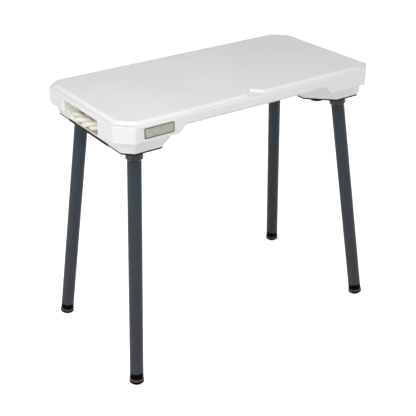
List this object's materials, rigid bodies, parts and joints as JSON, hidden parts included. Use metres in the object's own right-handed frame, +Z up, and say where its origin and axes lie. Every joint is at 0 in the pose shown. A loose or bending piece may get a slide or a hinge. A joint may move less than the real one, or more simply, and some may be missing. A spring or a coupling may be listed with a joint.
{
  "type": "convertible outdoor table",
  "caption": "Long eight-sided moulded worktop with rope handles in its ends, on four splayed round legs that twist loose and pull out.",
  "frame": {"origin": "on the floor, below the middle of the worktop", "axes": "+X along the worktop's length, to the right seen from the front; +Y across it, to the rear; +Z up"},
  "size_m": [0.8596, 0.4736, 0.7685],
  "materials": {
    "moulded_plastic": "fine moulded texture",
    "coated_plate": "satin black coating",
    "steel": "zinc plated",
    "brass": "turned",
    "black_rubber": "matt",
    "cast_socket": "cast, dark",
    "collar_plastic": "glossy, ribbed",
    "nylon": "natural",
    "coated_tube": "satin slate coating",
    "black_plastic": "matt",
    "foot_rubber": "half gloss",
    "ring_plastic": "brown",
    "rope": "twisted natural fibre",
    "plate_enamel": "khaki field, dark border"
  },
  "bodies": {
    "top": {"top_shell": "moulded_plastic", "left_base_plate": "coated_plate", "right_base_plate": "coated_plate", "left_plate_screws": "steel", "right_plate_screws": "steel", "left_plate_inserts": "brass", "right_plate_inserts": "brass", "left_bumper_pads": "black_rubber", "right_bumper_pads": "black_rubber", "left_socket_rivets": "steel", "right_socket_rivets": "steel", "front_left_socket": "cast_socket", "rear_left_socket": "cast_socket", "front_right_socket": "cast_socket", "rear_right_socket": "cast_socket", "left_rope_handle": "rope", "right_rope_handle": "rope", "left_rope_stoppers": "steel", "right_rope_stoppers": "steel", "nameplate": "plate_enamel"},
    "front_left_leg": {"front_left_leg_tube": "coated_tube", "front_left_tube_plug": "black_plastic", "front_left_foot": "foot_rubber", "front_left_wear_ring": "ring_plastic"},
    "front_left_lock": {"front_left_collar": "collar_plastic", "front_left_grip_ring": "nylon"},
    "rear_left_leg": {"rear_left_leg_tube": "coated_tube", "rear_left_tube_plug": "black_plastic", "rear_left_foot": "foot_rubber", "rear_left_wear_ring": "ring_plastic"},
    "rear_left_lock": {"rear_left_collar": "collar_plastic", "rear_left_grip_ring": "nylon"},
    "front_right_leg": {"front_right_leg_tube": "coated_tube", "front_right_tube_plug": "black_plastic", "front_right_foot": "foot_rubber", "front_right_wear_ring": "ring_plastic"},
    "front_right_lock": {"front_right_collar": "collar_plastic", "front_right_grip_ring": "nylon"},
    "rear_right_leg": {"rear_right_leg_tube": "coated_tube", "rear_right_tube_plug": "black_plastic", "rear_right_foot": "foot_rubber", "rear_right_wear_ring": "ring_plastic"},
    "rear_right_lock": {"rear_right_collar": "collar_plastic", "rear_right_grip_ring": "nylon"}
  },
  "joints": [
    {"name": "front_left_leg_pull", "type": "slide", "parent": "top", "child": "front_left_leg", "axis": [-0.0979, -0.1068, -0.9894], "range_m": [0, 0.08]},
    {"name": "rear_left_leg_pull", "type": "slide", "parent": "top", "child": "rear_left_leg", "axis": [-0.0979, 0.1068, -0.9894], "range_m": [0, 0.08]},
    {"name": "front_right_leg_pull", "type": "slide", "parent": "top", "child": "front_right_leg", "axis": [0.0979, -0.1068, -0.9894], "range_m": [0, 0.08]},
    {"name": "rear_right_leg_pull", "type": "slide", "parent": "top", "child": "rear_right_leg", "axis": [0.0979, 0.1068, -0.9894], "range_m": [0, 0.08]},
    {"name": "front_left_collar_turn", "type": "hinge", "parent": "top", "child": "front_left_lock", "pos_m": [-0.343, -0.144, 0.6785], "axis": [0.0979, 0.1068, 0.9894], "range_deg": [0, 180]},
    {"name": "rear_left_collar_turn", "type": "hinge", "parent": "top", "child": "rear_left_lock", "pos_m": [-0.343, 0.144, 0.6785], "axis": [0.0979, -0.1068, 0.9894], "range_deg": [0, 180]},
    {"name": "front_right_collar_turn", "type": "hinge", "parent": "top", "child": "front_right_lock", "pos_m": [0.343, -0.144, 0.6785], "axis": [-0.0979, 0.1068, 0.9894], "range_deg": [0, 180]},
    {"name": "rear_right_collar_turn", "type": "hinge", "parent": "top", "child": "rear_right_lock", "pos_m": [0.343, 0.144, 0.6785], "axis": [-0.0979, -0.1068, 0.9894], "range_deg": [0, 180]}
  ]
}
